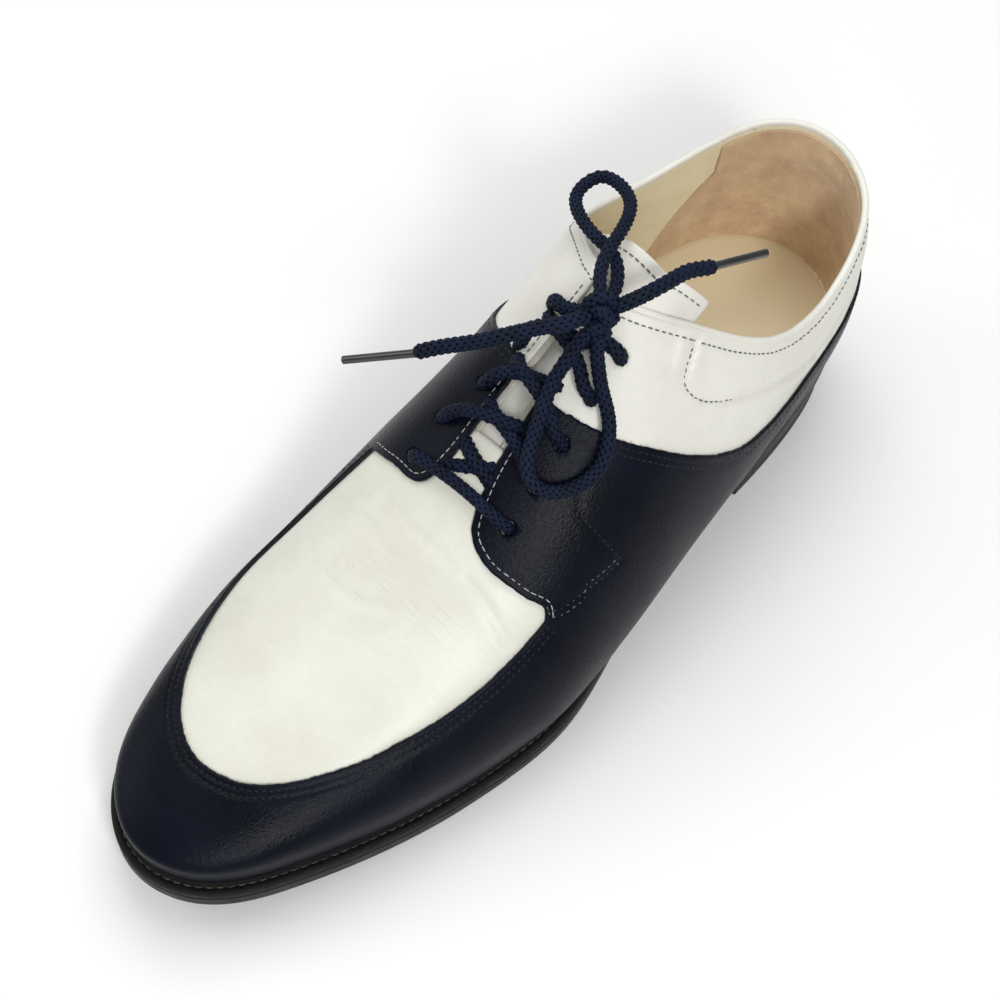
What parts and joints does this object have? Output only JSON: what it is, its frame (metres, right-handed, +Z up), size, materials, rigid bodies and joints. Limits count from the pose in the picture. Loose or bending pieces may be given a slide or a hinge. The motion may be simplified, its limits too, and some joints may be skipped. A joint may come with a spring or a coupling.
{
  "type": "saddle shoe",
  "caption": "Left saddle shoe: white leather under a navy apron and saddle, derby lacing tied in a bow, welted sole, low heel.",
  "frame": {"origin": "on the floor under the centre of the heel, at the top piece's rest face", "axes": "+Z up, -Y towards the toe, +X towards the lateral side of this left shoe"},
  "size_m": [0.1028, 0.2971, 0.1248],
  "materials": {
    "navy_leather": "dark navy calf leather, semi-gloss, fine grain",
    "white_leather": "warm white calf leather, semi-matt, fine creases",
    "sock_leather": "cream and tan lining and sock leather, matt, brushed at the heel",
    "black_sole": "black dyed leather, burnished edge",
    "heel_rubber": "black rubber, matt",
    "lace_cord": "dark navy round braided cord",
    "lace_tip": "dark grey-blue plastic sleeve, glossy"
  },
  "bodies": {
    "root": {"upper": "navy_leather", "tongue": "white_leather", "insole": "sock_leather", "welt": "black_sole", "outsole": "black_sole", "heel_stack": "black_sole", "heel_top_piece": "heel_rubber", "lace_bar": "lace_cord", "lace_cross_1": "lace_cord", "lace_cross_2": "lace_cord", "lace_cross_3": "lace_cord", "lace_tie": "lace_cord", "lace_knot": "lace_cord", "lace_loop_up": "lace_cord", "lace_loop_down": "lace_cord", "lace_end_left": "lace_cord", "lace_end_right": "lace_cord", "aglet_left": "lace_tip", "aglet_right": "lace_tip"}
  },
  "joints": []
}
